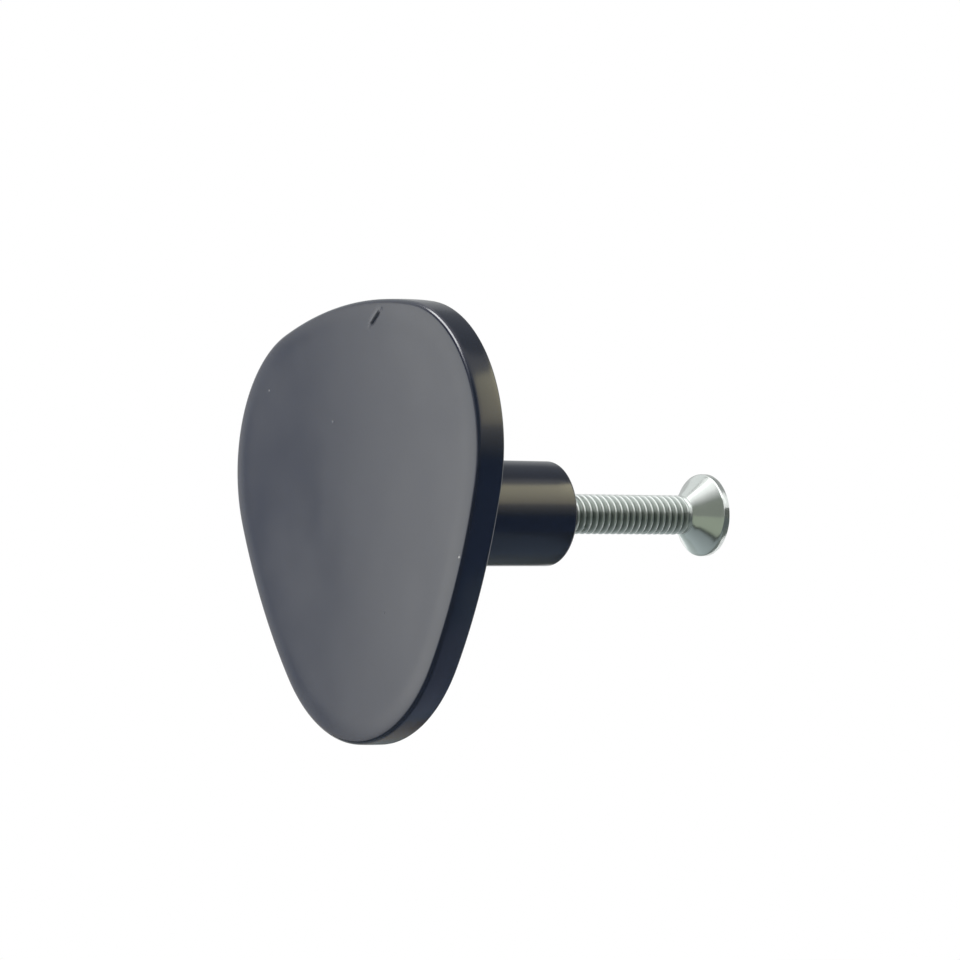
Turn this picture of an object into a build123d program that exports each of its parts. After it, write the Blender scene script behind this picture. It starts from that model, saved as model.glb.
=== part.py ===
from build123d import *

import os
from math import radians, sqrt, tan

# Cabinet knob: a flat plate with a rounded-triangle outline, cast in one piece with its neck, and the
# countersunk machine screw that holds it to a door. Millimetres, +Z up. The origin is the middle of the
# neck's seat face, and +Y runs along the screw, away from the plate's front face.

# Plate outline, seen from the front with the wide end up
plate_width = 46.0
plate_height = 42.2
top_above_axis = 20.0
top_radius = 55.0
shoulder_radius = 14.0
flank_radius = 55.0
tip_radius = 17.3

# Plate section
plate_thickness = 2.9
front_edge_radius = 0.4
back_edge_radius = 0.3

# Neck, with the projection measured from the plate's front to the seat face
projection = 22.8
neck_diameter = 10.4
neck_root_radius = 1.5
seat_edge_radius = 0.4

# Screw: M4 x 25 countersunk, with a cross recess in its head
thread_diameter = 4.0
screw_length = 25.0
thread_engagement = 5.7
screw_end_chamfer = 0.5
head_diameter = 8.4
head_land = 0.7
countersink_angle = 90.0
recess_depth = 2.3
recess_span = 4.6
recess_wing_width = 1.1
recess_floor_span = 1.8
recess_floor_wing_width = 0.7

# Blind hole in the neck, cut at the thread's major diameter
thread_clearance = 0.05
hole_runout = 6.0
hole_mouth_chamfer = 0.4
drill_point_angle = 118.0

# Places along Y that follow from these sizes
front_plane = Plane.XZ.offset(projection)
seat_plane = Plane.XZ
neck_length = projection - plate_thickness
screw_tip = -thread_engagement
head_top = screw_tip + screw_length
head_cone_end = head_top - head_land
head_cone_height = (head_diameter - thread_diameter) / 2 / tan(radians(countersink_angle / 2))
head_cone_start = head_cone_end - head_cone_height


def arc_center(first, first_distance, second, second_distance):
    """Return the point at these distances from two points, on the right of the way from first to second."""
    way = second - first
    along = (first_distance**2 - second_distance**2 + way.length**2) / (2 * way.length)
    across = sqrt(first_distance**2 - along**2)
    forward = way.normalized()
    return first + forward * along + Vector(forward.Y, -forward.X) * across


def touch_point(outer_center, outer_radius, inner_center):
    """Return where a circle touches a smaller circle that lies inside it."""
    return outer_center + (inner_center - outer_center).normalized() * outer_radius


def cross(span, wing_width):
    """Add a plain cross to the open sketch."""
    Rectangle(span, wing_width)
    Rectangle(wing_width, span)


# Arc centres of the outline's right half, each arc touching the next
top_center = Vector(0, top_above_axis - top_radius)
shoulder_x = plate_width / 2 - shoulder_radius
shoulder_rise = sqrt((top_radius - shoulder_radius) ** 2 - shoulder_x**2)
shoulder_center = Vector(shoulder_x, top_center.Y + shoulder_rise)
tip_center = Vector(0, top_above_axis - plate_height + tip_radius)
flank_center = arc_center(
    shoulder_center, flank_radius - shoulder_radius, tip_center, flank_radius - tip_radius
)

# Knob body: plate, neck and blind hole in one casting
with BuildPart() as knob_body:
    with BuildSketch(front_plane):
        with BuildLine():
            top_middle = Vector(0, top_above_axis)
            top_end = touch_point(top_center, top_radius, shoulder_center)
            shoulder_end = touch_point(flank_center, flank_radius, shoulder_center)
            flank_end = touch_point(flank_center, flank_radius, tip_center)
            tip_middle = top_middle - Vector(0, plate_height)
            top = TangentArc(top_middle, top_end, tangent=(1, 0))
            shoulder = TangentArc(top_end, shoulder_end, tangent=top % 1)
            flank = TangentArc(shoulder_end, flank_end, tangent=shoulder % 1)
            TangentArc(flank_end, tip_middle, tangent=flank % 1)
            mirror(about=Plane.YZ)
        make_face()
    extrude(amount=-plate_thickness)
    fillet(knob_body.faces().sort_by(Axis.Y)[0].edges(), front_edge_radius)
    fillet(knob_body.faces().sort_by(Axis.Y)[-1].edges(), back_edge_radius)

    with BuildSketch(seat_plane):
        Circle(neck_diameter / 2)
    extrude(amount=neck_length)
    fillet(knob_body.edges(Select.LAST).sort_by(Axis.Y)[0], neck_root_radius)
    fillet(knob_body.faces().sort_by(Axis.Y)[-1].edges(), seat_edge_radius)

    with BuildSketch(Plane.XY):
        with BuildLine():
            hole_radius = thread_diameter / 2 + thread_clearance
            hole_depth = thread_engagement + hole_runout
            drill_point = hole_radius / tan(radians(drill_point_angle / 2))
            Polyline(
                (0, 0),
                (hole_radius + hole_mouth_chamfer, 0),
                (hole_radius, -hole_mouth_chamfer),
                (hole_radius, -hole_depth),
                (0, -hole_depth - drill_point),
                close=True,
            )
        make_face()
    revolve(axis=Axis.Y, mode=Mode.SUBTRACT)
knob_body.part.label = "knob_body"

# Mounting screw: turned from its tip to the head's land, with a cross recess that narrows downwards
with BuildPart() as mounting_screw:
    with BuildSketch(Plane.XY):
        with BuildLine():
            Polyline(
                (0, screw_tip),
                (thread_diameter / 2 - screw_end_chamfer, screw_tip),
                (thread_diameter / 2, screw_tip + screw_end_chamfer),
                (thread_diameter / 2, head_cone_start),
                (head_diameter / 2, head_cone_end),
                (head_diameter / 2, head_top),
                (0, head_top),
                close=True,
            )
        make_face()
    revolve(axis=Axis.Y)

    with BuildSketch(Plane.XZ.offset(-head_top)):
        cross(recess_span, recess_wing_width)
    with BuildSketch(Plane.XZ.offset(recess_depth - head_top)):
        cross(recess_floor_span, recess_floor_wing_width)
    loft(ruled=True, mode=Mode.SUBTRACT)
mounting_screw.part.label = "mounting_screw"

os.makedirs("parts", exist_ok=True)
export_step(knob_body.part, "parts/knob_body.step")
export_step(mounting_screw.part, "parts/mounting_screw.step")
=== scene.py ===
from math import atan2, ceil, cos, floor, inf, pi, radians, sin, sqrt, tan

import bmesh
import bpy
from mathutils import Matrix, Vector


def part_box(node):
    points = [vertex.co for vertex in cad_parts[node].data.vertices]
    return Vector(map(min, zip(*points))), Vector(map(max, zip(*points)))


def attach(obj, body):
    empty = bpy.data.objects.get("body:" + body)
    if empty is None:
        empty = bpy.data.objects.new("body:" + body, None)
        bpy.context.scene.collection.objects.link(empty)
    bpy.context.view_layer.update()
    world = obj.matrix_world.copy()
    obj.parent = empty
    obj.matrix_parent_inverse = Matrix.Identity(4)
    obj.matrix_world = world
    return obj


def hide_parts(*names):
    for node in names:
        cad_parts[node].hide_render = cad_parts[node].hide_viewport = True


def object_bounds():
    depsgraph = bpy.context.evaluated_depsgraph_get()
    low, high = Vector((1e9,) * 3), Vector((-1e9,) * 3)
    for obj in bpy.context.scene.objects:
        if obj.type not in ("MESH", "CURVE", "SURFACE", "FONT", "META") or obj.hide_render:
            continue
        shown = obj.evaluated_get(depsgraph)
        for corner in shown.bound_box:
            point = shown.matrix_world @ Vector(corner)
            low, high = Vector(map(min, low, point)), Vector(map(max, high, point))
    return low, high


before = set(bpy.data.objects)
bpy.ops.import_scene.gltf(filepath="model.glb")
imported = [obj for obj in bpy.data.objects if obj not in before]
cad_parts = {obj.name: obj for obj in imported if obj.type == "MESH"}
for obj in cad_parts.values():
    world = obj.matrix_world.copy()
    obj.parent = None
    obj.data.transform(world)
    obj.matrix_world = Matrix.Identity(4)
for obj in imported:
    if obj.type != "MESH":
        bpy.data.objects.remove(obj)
cad_low, cad_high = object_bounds()

# Sizes in metres. What the frame gives is read from it, and the rest repeats the solids' own sizes.
MM = 0.001
body_low, body_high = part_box("knob_body")
screw_low, screw_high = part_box("mounting_screw")

plate_half_width = (body_high.x - body_low.x) / 2
plate_top = body_high.z
plate_bottom = body_low.z
plate_front = body_low.y
plate_thickness = 2.9 * MM
plate_back = plate_front + plate_thickness
top_radius = 55.0 * MM
shoulder_radius = 14.0 * MM
flank_radius = 55.0 * MM
tip_radius = 17.3 * MM
front_edge_radius = 0.4 * MM
back_edge_radius = 0.3 * MM

neck_radius = 5.2 * MM
neck_root_radius = 1.5 * MM
seat_edge_radius = 0.4 * MM
hole_radius = 2.05 * MM
hole_mouth_chamfer = 0.4 * MM
hole_depth = 11.7 * MM
drill_point_angle = 118.0
drill_point_depth = hole_radius / tan(radians(drill_point_angle / 2))

screw_tip = screw_low.y
head_top = screw_high.y
head_radius = (screw_high.x - screw_low.x) / 2
thread_radius = 2.0 * MM
screw_end_chamfer = 0.5 * MM
head_land = 0.7 * MM
cone_end = head_top - head_land
cone_start = cone_end - (head_radius - thread_radius)
recess_depth = 2.3 * MM
recess_span = 4.6 * MM
recess_wing_width = 1.1 * MM
recess_floor_span = 1.8 * MM
recess_floor_wing_width = 0.7 * MM

# Finish of the plate: a soft fall along the front's margin, and a rim that narrows a little towards the front
margin_width = 2.6 * MM
margin_fall = 0.08 * MM
margin_slope = 2 * margin_fall / (margin_width - front_edge_radius)
rim_crown = 0.11 * MM
edge_front = plate_front + margin_fall - front_edge_radius * (1 - cos(margin_slope))
rim_start = edge_front + front_edge_radius
rim_end = plate_back - back_edge_radius

# Finish of the screw: a thread that fades below the head to a plain stretch at a share of its depth, a cone
# that is a little hollow, broken edges on the head and its recess, and a recess floor that is dished
thread_pitch = 0.75 * MM
thread_depth = 0.44 * MM
thread_fade_length = 0.8 * MM
thread_end_share = 0.25
shank_end = cone_start - 0.1 * MM
cone_first = cone_start + 0.05 * MM
cone_sag = 0.05 * MM
edge_break = 0.08 * MM
cone_edge_round = 0.25 * edge_break
top_edge_round = 0.3 * edge_break
recess_break = 0.1 * MM
recess_margin = 0.13 * MM
recess_floor_dish = 0.2 * MM

# Thread form over half a pitch, from the crest's middle to the root's: share of the pitch and of the depth
THREAD_FORM = [
    (0.0, 0.0),
    (0.08, 0.01),
    (0.14, 0.06),
    (0.2, 0.19),
    (0.26, 0.38),
    (0.34, 0.66),
    (0.42, 0.92),
    (0.47, 1.0),
    (0.5, 1.0),
]
THREAD_PHASES = [share for share, _ in THREAD_FORM] + [1 - share for share, _ in THREAD_FORM[-2:0:-1]]

# Marks on the front, in its own x and z: a nick near the top edge, and chips with their size and paleness.
# The last two values say how steeply the nick's ends and the chips' edges go down.
nick_start = Vector((4.45, 16.8)) * MM
nick_end = Vector((7.2, 18.66)) * MM
nick_half_width = 0.31 * MM
nick_depth = 0.17 * MM
scuff_width = 0.6 * MM
scuff_paleness = 0.08
chip_depth = 0.03 * MM
CHIPS = [
    (Vector((19.0, -5.69)) * MM, 0.19 * MM, 1.0),
    (Vector((-15.22, 13.41)) * MM, 0.13 * MM, 0.35),
    (Vector((-2.77, 8.95)) * MM, 0.13 * MM, 0.3),
    (Vector((5.71, -9.99)) * MM, 0.12 * MM, 0.1),
]
NICK_STEEPNESS = 2.6
CHIP_STEEPNESS = 1.6

# Mesh fineness: points round the knob and the screw, and rings along each stretch of them
OUTLINE_POINTS = 360
FACE_RINGS = 34
MARGIN_RINGS = 8
FRONT_EDGE_RINGS = 10
RIM_RINGS = 6
BACK_EDGE_RINGS = 8
BACK_RINGS = 14
ROOT_RINGS = 10
NECK_RINGS = 10
SEAT_EDGE_RINGS = 8
SCREW_COLUMNS = 72
CONE_RINGS = 8
RECESS_RINGS = 4

# A ring close to a rounded edge keeps the flat beside it flat in its shading
BACK_FIRST_SHARE = 0.02
SEAT_SHARES = (0.03, 0.5, 1.0)

# The marks' faces are divided again and again, within a margin that halves each time
REFINE_ROUNDS = 4
refine_margin = 0.9 * MM

# Faces that meet at more than this many degrees have a sharp edge between them
KNOB_SHARP_ANGLE = 40
SCREW_SHARP_ANGLE = 29


def blend_value(first, second, share):
    """Return the value that lies the given share of the way from first to second."""
    return first + (second - first) * share


def smooth_step(share):
    """Return an eased share that is held between 0 and 1."""
    share = min(1.0, max(0.0, share))
    return share * share * (3 - 2 * share)


def steps(count):
    """Return evenly spaced shares from 0 to 1, both ends included."""
    return [index / count for index in range(count + 1)]


def quarter_turns(count):
    """Return evenly spaced angles over a quarter turn, without its start."""
    return [share * pi / 2 for share in steps(count)[1:]]


# Mesh helpers


def axis_point(radius, turn, y):
    """Return a point at an angle round the part's axis."""
    return Vector((radius * cos(turn), y, radius * sin(turn)))


def turned(ring):
    """Return a closed ring with each point replaced by the one after it."""
    return ring[1:] + ring[:1]


def fan(middle, first, second):
    """Return triangles from a middle point to pairs of ring points."""
    return [(middle, near, far) for near, far in zip(first, second)]


def mesh_piece(name, vertices, faces, sharp_angle, material):
    """Make an object from points and faces, shaded smooth up to the given angle between faces."""
    mesh = bpy.data.meshes.new(name)
    mesh.from_pydata(vertices, [], faces)
    mesh.validate()
    mesh.shade_smooth()
    mesh.set_sharp_from_angle(angle=radians(sharp_angle))
    mesh.materials.append(material)
    piece = bpy.data.objects.new(name, mesh)
    bpy.context.scene.collection.objects.link(piece)
    return piece


def float_attribute(mesh, name, values):
    """Store one number per vertex for a material to read."""
    attribute = mesh.attributes.new(name, "FLOAT", "POINT")
    attribute.data.foreach_set("value", values)


# Plate outline


def outline_arcs():
    """Return the right half's arcs from the top's middle to the tip: centre, radius, first and last angle."""
    top_center = Vector((0, plate_top - top_radius))
    shoulder_x = plate_half_width - shoulder_radius
    shoulder_rise = sqrt((top_radius - shoulder_radius) ** 2 - shoulder_x**2)
    shoulder_center = Vector((shoulder_x, top_center.y + shoulder_rise))
    tip_center = Vector((0, plate_bottom + tip_radius))
    way = tip_center - shoulder_center
    near = flank_radius - shoulder_radius
    far = flank_radius - tip_radius
    along = (near**2 - far**2 + way.length**2) / (2 * way.length)
    aside = sqrt(near**2 - along**2)
    forward = way.normalized()
    flank_center = shoulder_center + forward * along + Vector((forward.y, -forward.x)) * aside

    def angle(start, end):
        return atan2(end.y - start.y, end.x - start.x)

    top_end = angle(top_center, shoulder_center)
    flank_start = angle(flank_center, shoulder_center)
    flank_end = angle(flank_center, tip_center)
    return [
        (top_center, top_radius, pi / 2, top_end),
        (shoulder_center, shoulder_radius, top_end, flank_start),
        (flank_center, flank_radius, flank_start, flank_end),
        (tip_center, tip_radius, flank_end, -pi / 2),
    ]


def outline_points(count):
    """Return pairs of point and outward normal round the plate, clockwise from the top as seen in front."""
    arcs = outline_arcs()
    half_length = sum(radius * (first - last) for _, radius, first, last in arcs)
    right_half = []
    for index in range(count // 2 + 1):
        left_over = half_length * index / (count // 2)
        for center, radius, first, last in arcs:
            arc_length = radius * (first - last)
            if left_over <= arc_length or last == -pi / 2:
                turn = first - left_over / radius
                normal = Vector((cos(turn), sin(turn)))
                right_half.append((center + normal * radius, normal))
                break
            left_over -= arc_length
    left_half = []
    for point, normal in right_half[-2:0:-1]:
        left_half.append((Vector((-point.x, point.y)), Vector((-normal.x, normal.y))))
    return right_half + left_half


OUTLINE = outline_points(OUTLINE_POINTS)


# Knob body


def inset_ring(inset, y, share=1.0):
    """Return a ring inside the plate's outline, shrunk to a share of its size."""
    ring = []
    for point, normal in OUTLINE:
        place = (point - normal * inset) * share
        ring.append(Vector((place.x, y, place.y)))
    return ring


def round_ring(radius, y):
    """Return a round ring whose points lie at the same angles as the outline's."""
    return [axis_point(radius, atan2(point.y, point.x), y) for point, _ in OUTLINE]


def crown_inset(y):
    """Return how far the rim lies inside the outline at a place between its front and back."""
    return rim_crown * max(0.0, (rim_end - y) / (rim_end - plate_front)) ** 2


def front_rings():
    """Return the rings of the flat front, its soft margin and the front edge's round."""
    rings = [inset_ring(margin_width, plate_front, share) for share in steps(FACE_RINGS)[1:-1]]
    edge_inset = crown_inset(plate_front) + front_edge_radius * (1 - sin(margin_slope))
    for share in steps(MARGIN_RINGS):
        inset = blend_value(margin_width, edge_inset, share)
        rings.append(inset_ring(inset, plate_front + margin_fall * share**2))
    for share in steps(FRONT_EDGE_RINGS)[1:]:
        turn = blend_value(margin_slope, pi / 2, share)
        y = edge_front + front_edge_radius * (1 - cos(turn))
        rings.append(inset_ring(front_edge_radius * (1 - sin(turn)) + crown_inset(y), y))
    return rings


def rim_rings():
    """Return the rings of the rim and the back edge's round."""
    rings = []
    for share in steps(RIM_RINGS)[1:]:
        y = blend_value(rim_start, rim_end, share)
        rings.append(inset_ring(crown_inset(y), y))
    for turn in quarter_turns(BACK_EDGE_RINGS):
        rings.append(inset_ring(back_edge_radius * (1 - cos(turn)), rim_end + back_edge_radius * sin(turn)))
    return rings


def back_rings():
    """Return the rings of the plate's back, in to the neck, and the round at the neck's root."""
    outer = inset_ring(back_edge_radius, plate_back)
    inner = round_ring(neck_radius + neck_root_radius, plate_back)
    rings = []
    for share in [BACK_FIRST_SHARE] + steps(BACK_RINGS)[1:]:
        rings.append([first.lerp(second, share) for first, second in zip(outer, inner)])
    for turn in quarter_turns(ROOT_RINGS):
        radius = neck_radius + neck_root_radius * (1 - sin(turn))
        rings.append(round_ring(radius, plate_back + neck_root_radius * (1 - cos(turn))))
    return rings


def neck_rings():
    """Return the rings of the neck, its seat and the blind hole."""
    neck_start = plate_back + neck_root_radius
    rings = []
    for share in steps(NECK_RINGS)[1:]:
        rings.append(round_ring(neck_radius, blend_value(neck_start, -seat_edge_radius, share)))
    for turn in quarter_turns(SEAT_EDGE_RINGS):
        radius = neck_radius - seat_edge_radius * (1 - cos(turn))
        rings.append(round_ring(radius, -seat_edge_radius * (1 - sin(turn))))
    seat_radius = neck_radius - seat_edge_radius
    mouth_radius = hole_radius + hole_mouth_chamfer
    for share in SEAT_SHARES:
        rings.append(round_ring(blend_value(seat_radius, mouth_radius, share), 0))
    rings.append(round_ring(hole_radius, -hole_mouth_chamfer))
    rings.append(round_ring(hole_radius, -hole_depth))
    return rings


def knob_mesh_data():
    """Return the body's vertices and faces, from the middle of its front to the bottom of its hole."""
    vertices = [Vector((0, plate_front, 0))]
    rings = []
    for ring in front_rings() + rim_rings() + back_rings() + neck_rings():
        rings.append(list(range(len(vertices), len(vertices) + len(ring))))
        vertices += ring
    drill_point = len(vertices)
    vertices.append(Vector((0, -hole_depth - drill_point_depth, 0)))
    faces = fan(0, turned(rings[0]), rings[0])
    for near, far in zip(rings, rings[1:]):
        faces += zip(near, turned(near), turned(far), far)
    faces += fan(drill_point, rings[-1], turned(rings[-1]))
    return vertices, faces


# Marks in the coat


def distance_to_line(place, start, end):
    """Return how far a place on the front lies from a straight mark, or from a dot where its ends agree."""
    way = end - start
    along = (place - start).dot(way) / way.length_squared if way.length_squared > 0 else 0.0
    return (place - start - way * min(1.0, max(0.0, along))).length


def on_front(vertex):
    """Return whether a vertex lies on the front or its margin."""
    return vertex.co.y < plate_front + margin_fall


def front_place(vertex):
    """Return a vertex's place in the front's own x and z."""
    return Vector((vertex.co.x, vertex.co.z))


def refine(body, start, end, reach):
    """Divide the front's faces along a mark, finer towards it."""
    for index in range(REFINE_ROUNDS):
        limit = reach + refine_margin / 2**index
        near_vertices = set()
        for vertex in body.verts:
            if on_front(vertex) and distance_to_line(front_place(vertex), start, end) < limit:
                near_vertices.add(vertex)
        near = [edge for edge in body.edges if all(vertex in near_vertices for vertex in edge.verts)]
        bmesh.ops.subdivide_edges(body, edges=near, cuts=1, use_grid_fill=True)


def nick_shape(place):
    """Return the nick's depth at a place on the front, and how scuffed the coat is beside it."""
    way = nick_end - nick_start
    along = (place - nick_start).dot(way) / way.length_squared
    aside = (place - nick_start).dot(Vector((way.y, -way.x)).normalized())
    taper = smooth_step(NICK_STEEPNESS * along) * smooth_step(NICK_STEEPNESS * (1 - along))
    depth = nick_depth * taper * max(0.0, 1 - abs(aside) / nick_half_width)
    beside = -aside - nick_half_width
    scuff = smooth_step(1 - beside / scuff_width) * smooth_step(1 + beside / nick_half_width)
    return depth, scuff_paleness * taper * scuff


def mark_front(piece):
    """Press the nick and the chips into the front, and store how pale the coat is there."""
    body = bmesh.new()
    body.from_mesh(piece.data)
    refine(body, nick_start, nick_end, nick_half_width)
    for center, radius, _ in CHIPS:
        refine(body, center, center, radius)
    paleness = []
    for vertex in body.verts:
        pale = 0.0
        if on_front(vertex):
            place = front_place(vertex)
            depth, pale = nick_shape(place)
            for center, radius, whiteness in CHIPS:
                share = smooth_step(CHIP_STEEPNESS * (1 - (place - center).length / radius))
                depth += chip_depth * share
                pale = max(pale, whiteness * share)
            vertex.co.y += depth
        paleness.append(pale)
    body.to_mesh(piece.data)
    body.free()
    float_attribute(piece.data, "paleness", paleness)


# Screw, as a list of points, each with its share of the depth of a hollow, which the zinc darkens as painted
# shade, and its share of the rolled thread


def add_point(points, place, depth=0.0, rolled=0.0):
    """Add a point of the screw and return its number."""
    points.append((place, depth, rolled))
    return len(points) - 1


def thread_profile(phase):
    """Return how deep the thread is at a phase of its pitch, from 0 on the crest to 1 in the root."""
    offset = abs((phase + 0.5) % 1.0 - 0.5)
    for (first, first_depth), (last, last_depth) in zip(THREAD_FORM, THREAD_FORM[1:]):
        if offset <= last:
            return blend_value(first_depth, last_depth, (offset - first) / (last - first))
    return 1.0


def shank_section(y, phase):
    """Return the shank's radius and how deep it is, faded below the head and cut by the tip's chamfer."""
    fade = smooth_step((shank_end - y) / thread_fade_length)
    depth = blend_value(thread_end_share, thread_profile(phase), fade)
    tip_limit = thread_radius - screw_end_chamfer + (y - screw_tip)
    return min(thread_radius - thread_depth * depth, tip_limit), depth


def thread_column(points, turn):
    """Add a column of the shank's points along the helix, and return pairs of helix step and number."""
    lead = turn / (2 * pi)
    heights = [(-inf, screw_tip)]
    for pitch_index in range(floor(screw_tip / thread_pitch), ceil(shank_end / thread_pitch) + 1):
        for step, phase in enumerate(THREAD_PHASES):
            y = (pitch_index + phase - lead) * thread_pitch
            if screw_tip < y < shank_end:
                heights.append((pitch_index * len(THREAD_PHASES) + step, y))
    heights.append((inf, shank_end))
    column = []
    for helix_step, y in heights:
        radius, depth = shank_section(y, y / thread_pitch + lead)
        column.append((helix_step, add_point(points, axis_point(radius, turn, y), depth, 1.0)))
    return column


def column_faces(near, far, far_shift):
    """Return the faces between two columns, which join points of the same helix step."""
    faces = []
    a = 0
    b = 0
    while a < len(near) - 1 or b < len(far) - 1:
        near_next = near[a + 1][0] if a + 1 < len(near) else inf
        far_next = far[b + 1][0] + far_shift if b + 1 < len(far) else inf
        move_near = a < len(near) - 1 and near_next <= far_next
        move_far = b < len(far) - 1 and far_next <= near_next
        corners = [near[a][1]]
        if move_near:
            a += 1
            corners.append(near[a][1])
        if move_far:
            corners.append(far[b + 1][1])
        corners.append(far[b][1])
        if move_far:
            b += 1
        faces.append(tuple(corners))
    return faces


def head_profile():
    """Return radius and y along the head, from the cone's start to the rim of the flat top."""
    profile = [(thread_radius, cone_first)]
    for share in steps(CONE_RINGS)[1:-1]:
        radius = blend_value(thread_radius, head_radius, share)
        sag = 4 * cone_sag * share * (1 - share) * sqrt(0.5)
        profile.append((radius - sag, blend_value(cone_start, cone_end, share) + sag))
    return profile + [
        (head_radius - edge_break, cone_end - edge_break),
        (head_radius - cone_edge_round, cone_end),
        (head_radius, cone_end + edge_break),
        (head_radius, head_top - edge_break),
        (head_radius - top_edge_round, head_top - top_edge_round),
        (head_radius - edge_break, head_top),
        (head_radius - 2 * edge_break, head_top),
    ]


def cross_reach(turn, span, wing_width):
    """Return how far a cross reaches from its middle at an angle."""
    folded = turn % (pi / 2)
    folded = min(folded, pi / 2 - folded)
    if tan(folded) <= wing_width / span:
        return span / 2 / cos(folded)
    return wing_width / 2 / sin(folded)


def recess_ring(points, turns, widening, depth):
    """Add a ring of the cross recess at a depth, a little wider where its edge is broken."""
    share = depth / recess_depth
    span = blend_value(recess_span, recess_floor_span, share) + 2 * widening
    wing_width = blend_value(recess_wing_width, recess_floor_wing_width, share) + 2 * widening
    ring = []
    for turn in turns:
        reach = cross_reach(turn, span, wing_width)
        ring.append(add_point(points, axis_point(reach, turn, head_top - depth), share))
    return ring


def screw_mesh_data():
    """Return the screw's points and faces, from its tip along the thread to the head and into the recess."""
    points = []
    turns = [2 * pi * index / SCREW_COLUMNS for index in range(SCREW_COLUMNS)]
    columns = [thread_column(points, turn) for turn in turns]
    faces = []
    for near, far in zip(columns, columns[1:]):
        faces += column_faces(near, far, 0)
    faces += column_faces(columns[-1], columns[0], len(THREAD_PHASES))

    tip_ring = [column[0][1] for column in columns]
    tip_middle = add_point(points, Vector((0, screw_tip, 0)))
    faces += fan(tip_middle, tip_ring, turned(tip_ring))

    rings = [[column[-1][1] for column in columns]]
    for radius, y in head_profile():
        rings.append([add_point(points, axis_point(radius, turn, y)) for turn in turns])
    for widening, depth in ((recess_margin, 0.0), (recess_break, 0.0), (0.0, recess_break)):
        rings.append(recess_ring(points, turns, widening, depth))
    for share in steps(RECESS_RINGS)[1:]:
        rings.append(recess_ring(points, turns, 0.0, blend_value(recess_break, recess_depth, share)))
    for near, far in zip(rings, rings[1:]):
        faces += zip(near, far, turned(far), turned(near))
    floor_middle = add_point(points, Vector((0, head_top - recess_depth - recess_floor_dish, 0)), 1.0)
    faces += fan(floor_middle, turned(rings[-1]), rings[-1])
    return points, faces


# Materials

# The middle range of a noise texture, which holds nearly all of its values
NOISE_LOW = 0.3
NOISE_HIGH = 0.7

# Where the colour sockets stand among all sockets of a Mix node
MIX_COLOUR_INPUTS = (6, 7)
MIX_COLOUR_OUTPUT = 2


def new_material(name):
    """Return a new node material, its tree and its principled shader."""
    material = bpy.data.materials.new(name)
    material.use_nodes = True
    tree = material.node_tree
    return material, tree, tree.nodes["Principled BSDF"]


def object_place(tree):
    """Return the socket of a point's place on the object."""
    return tree.nodes.new("ShaderNodeTexCoord").outputs["Object"]


def noise(tree, coordinates, scale, detail):
    """Add a noise texture and return its value socket."""
    node = tree.nodes.new("ShaderNodeTexNoise")
    node.inputs["Scale"].default_value = scale
    node.inputs["Detail"].default_value = detail
    tree.links.new(coordinates, node.inputs["Vector"])
    return node.outputs["Fac"]


def spread(tree, value, low, high):
    """Map a texture's middle range onto the range from low to high."""
    node = tree.nodes.new("ShaderNodeMapRange")
    node.inputs["From Min"].default_value = NOISE_LOW
    node.inputs["From Max"].default_value = NOISE_HIGH
    node.inputs["To Min"].default_value = low
    node.inputs["To Max"].default_value = high
    tree.links.new(value, node.inputs["Value"])
    return node.outputs["Result"]


def mix_colour(tree, share, first, second):
    """Mix two colours, each a constant or a socket, by a share socket."""
    node = tree.nodes.new("ShaderNodeMix")
    node.data_type = "RGBA"
    tree.links.new(share, node.inputs["Factor"])
    for index, colour in zip(MIX_COLOUR_INPUTS, (first, second)):
        if isinstance(colour, tuple):
            node.inputs[index].default_value = (*colour, 1)
        else:
            tree.links.new(colour, node.inputs[index])
    return node.outputs[MIX_COLOUR_OUTPUT]


def bump(tree, height, distance, normal=None):
    """Add a bump of a real height in metres and return its normal."""
    node = tree.nodes.new("ShaderNodeBump")
    node.inputs["Strength"].default_value = 1.0
    node.inputs["Distance"].default_value = distance
    tree.links.new(height, node.inputs["Height"])
    if normal is not None:
        tree.links.new(normal, node.inputs["Normal"])
    return node.outputs["Normal"]


def attribute(tree, name):
    """Return the value of a vertex attribute."""
    node = tree.nodes.new("ShaderNodeAttribute")
    node.attribute_name = name
    return node.outputs["Fac"]


def black_coat():
    """Satin black coat with a trace of navy, handling haze, faint waves and a fine orange peel."""
    deep_navy = (0.005, 0.0095, 0.023)
    pale_navy = (0.008, 0.0125, 0.026)
    bare_metal = (0.62, 0.62, 0.60)
    wave_height = 0.012 * MM
    peel_height = 0.0006 * MM
    material, tree, shader = new_material("black_coat")
    place = object_place(tree)
    haze = noise(tree, place, scale=90, detail=3)
    tint = mix_colour(tree, haze, deep_navy, pale_navy)
    marked = mix_colour(tree, attribute(tree, "paleness"), tint, bare_metal)
    tree.links.new(marked, shader.inputs["Base Color"])
    tree.links.new(spread(tree, haze, low=0.16, high=0.22), shader.inputs["Roughness"])
    shader.inputs["IOR"].default_value = 1.5
    waves = bump(tree, noise(tree, place, scale=110, detail=1), wave_height)
    peel = bump(tree, noise(tree, place, scale=1400, detail=2), peel_height, waves)
    tree.links.new(peel, shader.inputs["Normal"])
    return material


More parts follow.
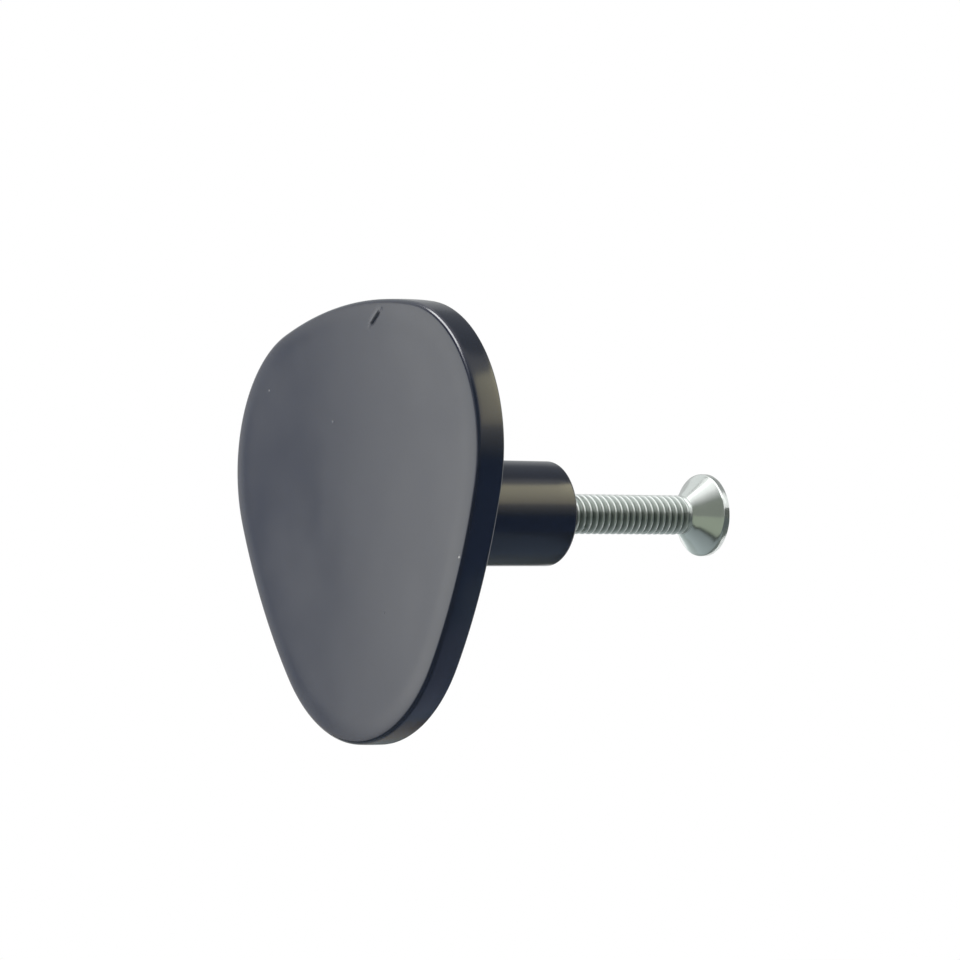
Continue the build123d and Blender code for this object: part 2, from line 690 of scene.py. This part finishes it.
def zinc_plate():
    """Bright zinc plate, a little green and duller on the rolled thread, with painted shade that darkens the
    thread's roots and the recess towards its floor.
    """
    grey_zinc = (0.70, 0.74, 0.71)
    bright_zinc = (0.77, 0.80, 0.78)
    # Painted shade: the colour that the thread's roots and the recess floor are darkened to
    root_shade_grey = (0.30, 0.33, 0.31)
    thread_dullness = 0.12
    grain_height = 0.0012 * MM
    material, tree, shader = new_material("zinc_plate")
    place = object_place(tree)
    cloud = noise(tree, place, scale=420, detail=3)
    plate = mix_colour(tree, cloud, grey_zinc, bright_zinc)
    # Painted shade, darker with the depth share of the thread's roots and of the recess
    root_shaded_plate = mix_colour(tree, attribute(tree, "depth"), plate, root_shade_grey)
    tree.links.new(root_shaded_plate, shader.inputs["Base Color"])
    shader.inputs["Metallic"].default_value = 1.0
    duller = tree.nodes.new("ShaderNodeMath")
    duller.operation = "MULTIPLY_ADD"
    tree.links.new(attribute(tree, "rolled"), duller.inputs[0])
    duller.inputs[1].default_value = thread_dullness
    tree.links.new(spread(tree, cloud, low=0.15, high=0.2), duller.inputs[2])
    tree.links.new(duller.outputs["Value"], shader.inputs["Roughness"])
    grain = bump(tree, noise(tree, place, scale=900, detail=2), grain_height)
    tree.links.new(grain, shader.inputs["Normal"])
    return material


# Pieces

knob_vertices, knob_faces = knob_mesh_data()
knob = mesh_piece("knob_casting", knob_vertices, knob_faces, KNOB_SHARP_ANGLE, black_coat())
mark_front(knob)
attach(knob, "root")
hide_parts("knob_body")

screw_points, screw_faces = screw_mesh_data()
screw_vertices, screw_depths, screw_rolled = zip(*screw_points)
screw = mesh_piece("threaded_screw", screw_vertices, screw_faces, SCREW_SHARP_ANGLE, zinc_plate())
# The depth share drives the zinc's painted shade in the roots and the recess
float_attribute(screw.data, "depth", screw_depths)
float_attribute(screw.data, "rolled", screw_rolled)
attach(screw, "root")
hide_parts("mounting_screw")

# Camera at the photograph's angle, aimed a little beside the seat's middle, with its angles in degrees
CAMERA_AZIMUTH = 56.0
CAMERA_ELEVATION = -4.18
CAMERA_ROLL = -2.17
CAMERA_DISTANCE = 301.7 * MM
CAMERA_LENS = 114.0
CAMERA_NEAR_CLIP = 1 * MM
CAMERA_FAR_CLIP = 20.0
AIM_RIGHT = -6.715 * MM
AIM_UP = 3.62 * MM


def direction(azimuth, elevation):
    """Return the unit vector towards a place round the knob, with azimuth 0 in front and 90 at its right."""
    a = radians(azimuth)
    e = radians(elevation)
    return Vector((sin(a) * cos(e), -cos(a) * cos(e), sin(e)))


def view_axes(back):
    """Return the directions right and up of a camera, from the direction that its back points in."""
    right = Vector((0, 0, 1)).cross(back).normalized()
    return right, back.cross(right)


def add_camera():
    """Make the scene's camera."""
    back = direction(CAMERA_AZIMUTH, CAMERA_ELEVATION)
    place = back * CAMERA_DISTANCE
    right, up = view_axes(back)
    aim = right * AIM_RIGHT + up * AIM_UP
    back = (place - aim).normalized()
    right, up = view_axes(back)
    turn = Matrix((right, up, back)).transposed() @ Matrix.Rotation(radians(CAMERA_ROLL), 3, "Z")
    data = bpy.data.cameras.new("camera")
    data.lens = CAMERA_LENS
    data.clip_start = CAMERA_NEAR_CLIP
    data.clip_end = CAMERA_FAR_CLIP
    camera = bpy.data.objects.new("camera", data)
    camera.matrix_world = Matrix.Translation(place) @ turn.to_4x4()
    bpy.context.scene.collection.objects.link(camera)
    bpy.context.scene.camera = camera


add_camera()

# Studio: white surroundings, a pale floor below the knob, one soft lamp, and cards for gloss and metal
FLOOR_Z = cad_low.z - 38 * MM
FLOOR_HALF = 3.0
FLOOR_LIT_REACH = 0.11
FLOOR_WHITE_REACH = 0.22
FLOOR_COLOUR = (0.93, 0.93, 0.93)
CARD_GAP = 0.5 * MM
FILL_COLOUR = (0.95, 0.97, 1.0)
FILL_STRENGTH = 0.25


def light_only(light, pieces):
    """Keep a lamp or card for the given pieces."""
    group = bpy.data.collections.new(light.name + "_receivers")
    for piece in pieces:
        group.objects.link(piece)
    light.light_linking.receiver_collection = group


def add_lamp(name, azimuth, elevation, distance, width, height, radiance):
    """Add a soft rectangular lamp of a given brightness that looks at the knob."""
    data = bpy.data.lights.new(name, "AREA")
    data.shape = "RECTANGLE"
    data.size = width
    data.size_y = height
    data.energy = radiance * width * height * pi
    lamp = bpy.data.objects.new(name, data)
    place = direction(azimuth, elevation) * distance
    lamp.matrix_world = Matrix.Translation(place) @ place.to_track_quat("Z", "Y").to_matrix().to_4x4()
    bpy.context.scene.collection.objects.link(lamp)
    return lamp


def quad(name, corners, material):
    """Add one flat face of the studio."""
    mesh = bpy.data.meshes.new(name)
    mesh.from_pydata(corners, [], [(0, 1, 2, 3)])
    mesh.materials.append(material)
    piece = bpy.data.objects.new(name, mesh)
    bpy.context.scene.collection.objects.link(piece)
    return piece


def seen_directly(tree):
    """Return 1 for what the camera, gloss or glass sees, and 0 for the light that falls on the object."""
    path = tree.nodes.new("ShaderNodeLightPath")
    total = path.outputs["Is Camera Ray"]
    for kind in ("Is Glossy Ray", "Is Transmission Ray"):
        node = tree.nodes.new("ShaderNodeMath")
        node.operation = "MAXIMUM"
        tree.links.new(total, node.inputs[0])
        tree.links.new(path.outputs[kind], node.inputs[1])
        total = node.outputs["Value"]
    return total


def add_world():
    """White where it is seen, and a softer fill where it lights."""
    world = bpy.data.worlds.new("studio")
    world.use_nodes = True
    tree = world.node_tree
    fill = tree.nodes["Background"]
    fill.inputs["Color"].default_value = (*FILL_COLOUR, 1)
    fill.inputs["Strength"].default_value = FILL_STRENGTH
    white = tree.nodes.new("ShaderNodeBackground")
    white.inputs["Color"].default_value = (1, 1, 1, 1)
    white.inputs["Strength"].default_value = 1.0
    mix = tree.nodes.new("ShaderNodeMixShader")
    tree.links.new(seen_directly(tree), mix.inputs["Fac"])
    tree.links.new(fill.outputs["Background"], mix.inputs[1])
    tree.links.new(white.outputs["Background"], mix.inputs[2])
    tree.links.new(mix.outputs["Shader"], tree.nodes["World Output"].inputs["Surface"])
    bpy.context.scene.world = world


def floor_material():
    """Pale and lit near the knob, where its shadow falls, and plain white further out."""
    material, tree, shader = new_material("floor")
    shader.inputs["Base Color"].default_value = (*FLOOR_COLOUR, 1)
    shader.inputs["Roughness"].default_value = 1.0
    shader.inputs["Specular IOR Level"].default_value = 0.0
    reach = tree.nodes.new("ShaderNodeVectorMath")
    reach.operation = "LENGTH"
    tree.links.new(object_place(tree), reach.inputs[0])
    ease = tree.nodes.new("ShaderNodeMapRange")
    ease.interpolation_type = "SMOOTHSTEP"
    ease.inputs["From Min"].default_value = FLOOR_LIT_REACH
    ease.inputs["From Max"].default_value = FLOOR_WHITE_REACH
    tree.links.new(reach.outputs["Value"], ease.inputs["Value"])
    share = tree.nodes.new("ShaderNodeMath")
    share.operation = "MULTIPLY"
    tree.links.new(ease.outputs["Result"], share.inputs[0])
    tree.links.new(seen_directly(tree), share.inputs[1])
    white = tree.nodes.new("ShaderNodeEmission")
    mix = tree.nodes.new("ShaderNodeMixShader")
    tree.links.new(share.outputs["Value"], mix.inputs["Fac"])
    tree.links.new(shader.outputs["BSDF"], mix.inputs[1])
    tree.links.new(white.outputs["Emission"], mix.inputs[2])
    tree.links.new(mix.outputs["Shader"], tree.nodes["Material Output"].inputs["Surface"])
    return material


def add_floor():
    """Add a pale floor some way below the knob."""
    signs = ((-1, -1), (1, -1), (1, 1), (-1, 1))
    return quad("floor", [(x * FLOOR_HALF, y * FLOOR_HALF, FLOOR_Z) for x, y in signs], floor_material())


add_world()
studio_floor = add_floor()
key_lamp = add_lamp(
    "key_lamp", azimuth=-15, elevation=58, distance=0.6, width=0.46, height=0.26, radiance=12.0
)
light_only(key_lamp, [knob, studio_floor])

# Reflection cards, which show only in gloss and metal


def card_material(name, clear):
    """Glow in the colours of a card's corners, with what lies behind hidden or showing through."""
    material = bpy.data.materials.new(name)
    material.use_nodes = True
    tree = material.node_tree
    tree.nodes.remove(tree.nodes["Principled BSDF"])
    shade = tree.nodes.new("ShaderNodeAttribute")
    shade.attribute_name = "glow"
    glow = tree.nodes.new("ShaderNodeEmission")
    tree.links.new(shade.outputs["Color"], glow.inputs["Color"])
    surface = glow.outputs["Emission"]
    if clear:
        total = tree.nodes.new("ShaderNodeAddShader")
        through = tree.nodes.new("ShaderNodeBsdfTransparent")
        tree.links.new(surface, total.inputs[0])
        tree.links.new(through.outputs["BSDF"], total.inputs[1])
        surface = total.outputs["Shader"]
    tree.links.new(surface, tree.nodes["Material Output"].inputs["Surface"])
    return material


CARD_MATERIAL = card_material("card", clear=False)
GLOW_MATERIAL = card_material("glow", clear=True)


def box_corners(first, second):
    """Return the corners of a box, in order round it, from a range of each of its two measures."""
    return [(first[0], second[0]), (first[1], second[0]), (first[1], second[1]), (first[0], second[1])]


def even(colour):
    """Return one colour for all corners of a card."""
    return [colour] * 4


def across(first, last):
    """Return corner colours that change along a card's first measure, azimuth or x."""
    return [first, last, last, first]


def upwards(first, last):
    """Return corner colours that change along a card's second measure, elevation or y."""
    return [first, first, last, last]


def add_card(name, corners, colours, pieces):
    """Add a card that both pieces reflect, or that adds light to the reflections of the given pieces."""
    card = quad(name, corners, GLOW_MATERIAL if pieces else CARD_MATERIAL)
    glow = card.data.attributes.new("glow", "FLOAT_COLOR", "POINT")
    for corner, colour in zip(glow.data, colours):
        corner.color = (*colour, 1)
    card.visible_camera = False
    card.visible_diffuse = False
    card.visible_shadow = False
    card.visible_transmission = False
    if pieces:
        light_only(card, pieces)


def add_standing_cards(rows, pieces=None):
    """Add cards whose corners are seen from the knob at the given azimuths and elevations."""
    for name, corners, distance, colours in rows:
        places = [direction(azimuth, elevation) * distance for azimuth, elevation in corners]
        add_card(name, places, colours, pieces)


def add_floor_cards(rows, pieces=None):
    """Add cards that lie on the floor, in layers where one covers another."""
    for name, corners, layer, colours in rows:
        z = FLOOR_Z + CARD_GAP * layer
        add_card(name, [(x, y, z) for x, y in corners], colours, pieces)


# Card colours that are used again, and corners that don't make a box
NO_GLOW = (0, 0, 0)
LEFT_DARK = (0.02, 0.05, 0.15)
FRONT_WHITE = (2.3, 2.33, 2.3)
FRONT_UPPER_WHITE = (2.05, 2.08, 2.05)
FRONT_LEFT_COLOURS = [(2.95, 2.95, 2.85), FRONT_WHITE, FRONT_UPPER_WHITE, (2.6, 2.6, 2.52)]
BACK_DIM = even((0.36, 0.37, 0.37))
RIGHT_GREY = (0.11, 0.13, 0.13)
BELOW_GREY = even((0.14, 0.16, 0.145))
NEAR_GREY = even((0.15, 0.165, 0.15))
WARM_COLOURS = [(0.9, 0.75, 0.4), (1.7, 1.5, 0.75), (4.8, 4.4, 2.7), (1.2, 1.1, 0.6)]
WARM_CORNERS = [(106, 11), (160, 11), (162, 44.8), (112, 43)]
ABOVE_CORNERS = [(-135, 64), (-45, 64), (45, 64), (135, 64)]
BELOW_PALE_CORNERS = [(-0.35, 0.01), (0.06, 0.01), (0.06, 0.042), (-0.35, 0.16)]
BELOW_GLOW_CORNERS = [(-0.35, 0.01), (-0.04, 0.01), (-0.04, 0.053), (-0.35, 0.16)]
BELOW_LEFT_CORNERS = [(-0.17, 0.06), (-0.024, 0.042), (-0.024, 0.0585), (-0.17, 0.117)]
FRONT_GREY_CORNERS = [(-0.15, -0.3), (0.03, -0.3), (0.03, -0.062), (-0.15, -0.025)]
NEAR_RIGHT_CORNERS = box_corners((0.012, 0.5), (-0.5, -0.036))
RIGHT_CORNERS = box_corners((0.06, 0.5), (-0.05, 0.5))

# Standing cards: name, corners as azimuth and elevation in degrees, distance in metres, corner colours
SHARED_CARDS = [
    ("front_left_fade", box_corners((-66.5, -59.8), (-7, 12)), 0.62, across((1.0, 1.04, 1.12), LEFT_DARK)),
    ("front_left_dim", box_corners((-59.8, -57.6), (-7, 12)), 0.62, even(LEFT_DARK)),
    ("front_left_white", box_corners((-57.6, -40), (-4, 17)), 0.6, FRONT_LEFT_COLOURS),
    ("front_white", box_corners((-40, -20), (-4, 17)), 0.6, upwards(FRONT_WHITE, FRONT_UPPER_WHITE)),
    ("front_low_fade", box_corners((-57.6, -20), (-16, -4)), 0.6, upwards((0.8, 0.8, 0.8), (2.4, 2.4, 2.4))),
    ("front_dark", box_corners((-46, -8), (17, 44)), 0.58, even((0.12, 0.12, 0.14))),
    ("left_grey", box_corners((-105, -67), (22, 62)), 0.6, even((0.85, 0.87, 0.87))),
    ("left_line", box_corners((-72, -66), (42, 66)), 0.59, even((0.25, 0.26, 0.26))),
    ("right_dim", box_corners((84, 164), (-8, 10)), 0.5, even((0.12, 0.13, 0.12))),
    ("back_dim", box_corners((162, 232), (29, 66)), 0.6, BACK_DIM),
    ("back_upper_dim", box_corners((143, 165), (42, 70)), 0.59, BACK_DIM),
    ("back_left_grey", box_corners((208, 256), (0, 44)), 0.58, even((0.56, 0.57, 0.57))),
    ("near_right_dim", box_corners((10, 78), (-6, 28)), 0.5, even((0.24, 0.26, 0.23))),
    ("near_right_fade", box_corners((10, 78), (28, 56)), 0.5, upwards((0.20, 0.22, 0.20), (0.9, 0.9, 0.9))),
]
KNOB_GLOWS = [
    ("left_glow", box_corners((-84, -66.5), (-24, 24)), 0.57, even((0.2, 0.2, 0.2))),
    ("left_low_glow", box_corners((-72, -57), (-13, 0)), 0.56, upwards((0.6, 0.58, 0.52), NO_GLOW)),
    ("right_blue_glow", box_corners((84, 164), (-8, 0)), 0.48, across((0.0, 0.02, 0.05), (0.0, 0.03, 0.08))),
    ("right_fade_glow", box_corners((84, 164), (-6.5, 10)), 0.49, upwards(NO_GLOW, (0.9, 0.88, 0.82))),
    ("right_warm_glow", WARM_CORNERS, 0.46, WARM_COLOURS),
    ("back_upper_glow", box_corners((143, 161), (42, 55)), 0.47, even((0.62, 0.61, 0.6))),
    ("edge_glow", box_corners((-10, 26), (36, 58)), 0.44, even((2.2, 2.2, 2.3))),
]
SCREW_GLOWS = [
    ("front_lamp_glow", box_corners((-46, 12), (20, 72)), 0.45, across((0.95, 0.98, 0.97), NO_GLOW)),
    ("above_glow", ABOVE_CORNERS, 0.44, even((1.3, 1.33, 1.32))),
    ("side_glow", box_corners((52, 118), (36, 66)), 0.45, even((1.3, 1.35, 1.32))),
    ("right_streak_glow", box_corners((124, 140), (22, 42)), 0.45, even((0.3, 0.31, 0.3))),
]
add_standing_cards(SHARED_CARDS)
add_standing_cards(KNOB_GLOWS, [knob])
add_standing_cards(SCREW_GLOWS, [screw])

# Floor cards: name, corners as x and y in metres, layer, corner colours
SHARED_FLOOR_CARDS = [
    ("below_near", box_corners((-0.12, 0.06), (-0.09, 0.01)), 1, across((0.54, 0.61, 0.63), RIGHT_GREY)),
    ("below_pale", BELOW_PALE_CORNERS, 1, even((0.27, 0.31, 0.31))),
    ("below_screw_dim", box_corners((-0.03, 0.02), (0.008, 0.024)), 2, even((0.1, 0.11, 0.1))),
    ("below_left_grey", BELOW_LEFT_CORNERS, 2, BELOW_GREY),
    ("below_middle_grey", box_corners((-0.024, 0.02), (0.042, 0.0585)), 2, BELOW_GREY),
    ("below_right_grey", box_corners((0.02, 0.06), (0.042, 0.35)), 2, BELOW_GREY),
    ("right_grey", RIGHT_CORNERS, 1, even(RIGHT_GREY)),
    ("front_grey", FRONT_GREY_CORNERS, 2, NEAR_GREY),
    ("near_right_grey", NEAR_RIGHT_CORNERS, 3, NEAR_GREY),
    ("below_line", box_corners((-0.03, 0.03), (-0.04, -0.028)), 4, even((0.04, 0.045, 0.04))),
    ("front_pale", box_corners((-0.5, -0.15), (-0.55, -0.12)), 1, even((0.9, 0.9, 0.9))),
]
KNOB_FLOOR_GLOWS = [
    ("below_blue_glow", box_corners((-0.014, 0.06), (-0.016, 0.042)), 5, even((0.04, 0.08, 0.16))),
    ("below_warm_glow", box_corners((-0.35, -0.014), (-0.016, 0.024)), 5, even((0.12, 0.06, 0.02))),
    ("below_tip_glow", box_corners((-0.006, 0.04), (-0.012, 0.014)), 6, even((0.12, 0.1, 0.13))),
    ("right_blue_floor_glow", RIGHT_CORNERS, 5, even((0.01, 0.04, 0.15))),
]
SCREW_FLOOR_GLOWS = [
    ("below_pale_glow", BELOW_GLOW_CORNERS, 7, across((0.66, 0.7, 0.7), NO_GLOW)),
    ("near_right_glow", NEAR_RIGHT_CORNERS, 8, even((0.18, 0.205, 0.15))),
]
add_floor_cards(SHARED_FLOOR_CARDS)
add_floor_cards(KNOB_FLOOR_GLOWS, [knob])
add_floor_cards(SCREW_FLOOR_GLOWS, [screw])

bpy.context.scene.view_settings.view_transform = "Standard"
